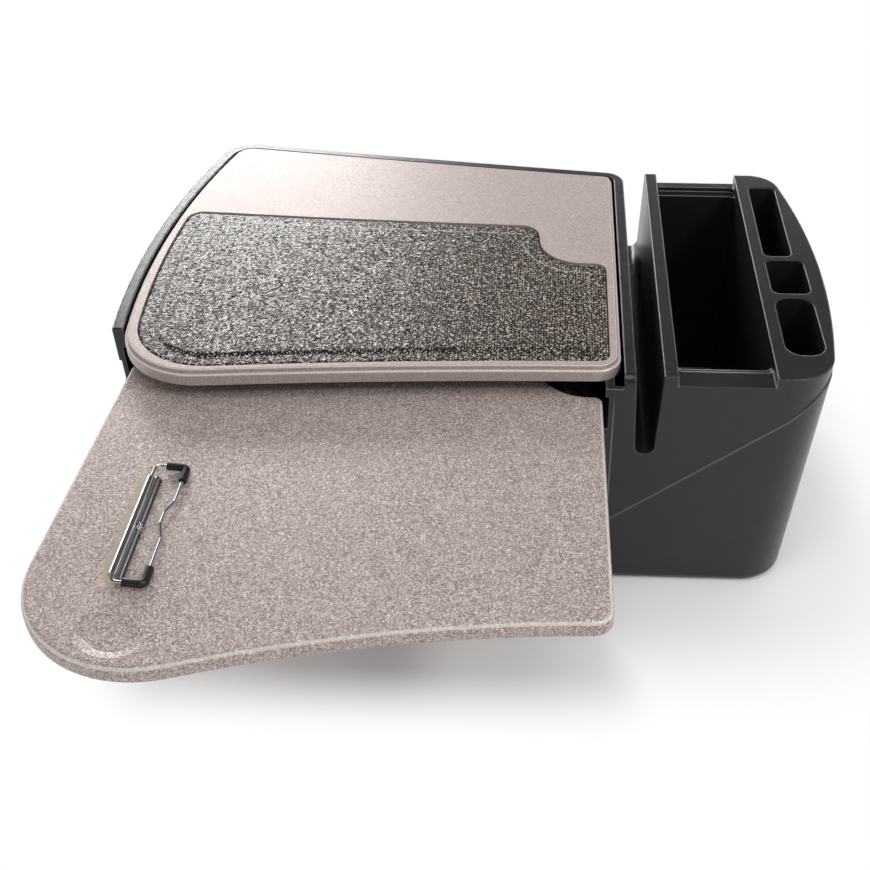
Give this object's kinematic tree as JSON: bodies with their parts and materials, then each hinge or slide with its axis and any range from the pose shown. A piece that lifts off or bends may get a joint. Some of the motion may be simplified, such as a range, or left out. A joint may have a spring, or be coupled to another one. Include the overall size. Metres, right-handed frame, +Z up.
{
  "type": "car desk with slide-out writing tray and file organizer",
  "caption": "Passenger-seat car desk: fixed laptop platform with a grip pad, a writing tray that slides out under it, a belt channel, a file bay and organizer pockets.",
  "frame": {"origin": "on the flat underside, near the middle of the base and below the tray bay", "axes": "+X to the user's right, towards the organizer; +Y away from the user; +Z up"},
  "size_m": [0.6622, 0.7392, 0.2538],
  "materials": {
    "charcoal_plastic": "fine satin grain, charcoal",
    "taupe_plastic": "fine speckled grain, warm pewter grey",
    "pad_rubber": "pebbled, matt, dark grey-brown",
    "clip_chrome": "polished",
    "zinc_steel": "zinc plated",
    "sleeve_rubber": "smooth black"
  },
  "bodies": {
    "base": {"base_shell": "charcoal_plastic", "base_bottom_pan": "charcoal_plastic", "bottom_pan_screws": "zinc_steel", "laptop_platform": "taupe_plastic", "platform_screws": "zinc_steel", "grip_pad": "pad_rubber", "left_slide_outer": "zinc_steel", "right_slide_outer": "zinc_steel", "slide_floor_screws": "zinc_steel"},
    "tray": {"writing_tray": "taupe_plastic", "left_slide_inner": "zinc_steel", "right_slide_inner": "zinc_steel", "tray_slide_screws": "zinc_steel", "clip_base_plate": "clip_chrome", "clip_rivets": "clip_chrome", "clip_hinge_rod": "clip_chrome", "clip_spring": "zinc_steel"},
    "left_middle": {"left_slide_middle": "zinc_steel"},
    "right_middle": {"right_slide_middle": "zinc_steel"},
    "clip_jaw": {"clip_lever": "clip_chrome", "wire_bail": "clip_chrome", "bail_sleeve_back": "sleeve_rubber", "bail_sleeve_front": "sleeve_rubber"}
  },
  "joints": [
    {"name": "tray_slide", "type": "slide", "parent": "base", "child": "tray", "axis": [0, 1, 0], "range_m": [0, 0.255]},
    {"name": "left_middle_slide", "type": "slide", "parent": "base", "child": "left_middle", "axis": [0, 1, 0], "range_m": [0, 0.1275]},
    {"name": "right_middle_slide", "type": "slide", "parent": "base", "child": "right_middle", "axis": [0, 1, 0], "range_m": [0, 0.1275]},
    {"name": "clip_hinge", "type": "hinge", "parent": "tray", "child": "clip_jaw", "pos_m": [-0.245, -0.3745, 0.22665], "axis": [0, -1, 0], "range_deg": [0, 22], "stiffness_Nm_per_rad": 0.05, "springref_deg": -20.05, "deforming": ["clip_spring"]}
  ],
  "couplings": [
    {"joint": "left_middle_slide", "follows": "tray_slide", "ratio": 0.5},
    {"joint": "right_middle_slide", "follows": "tray_slide", "ratio": 0.5}
  ]
}
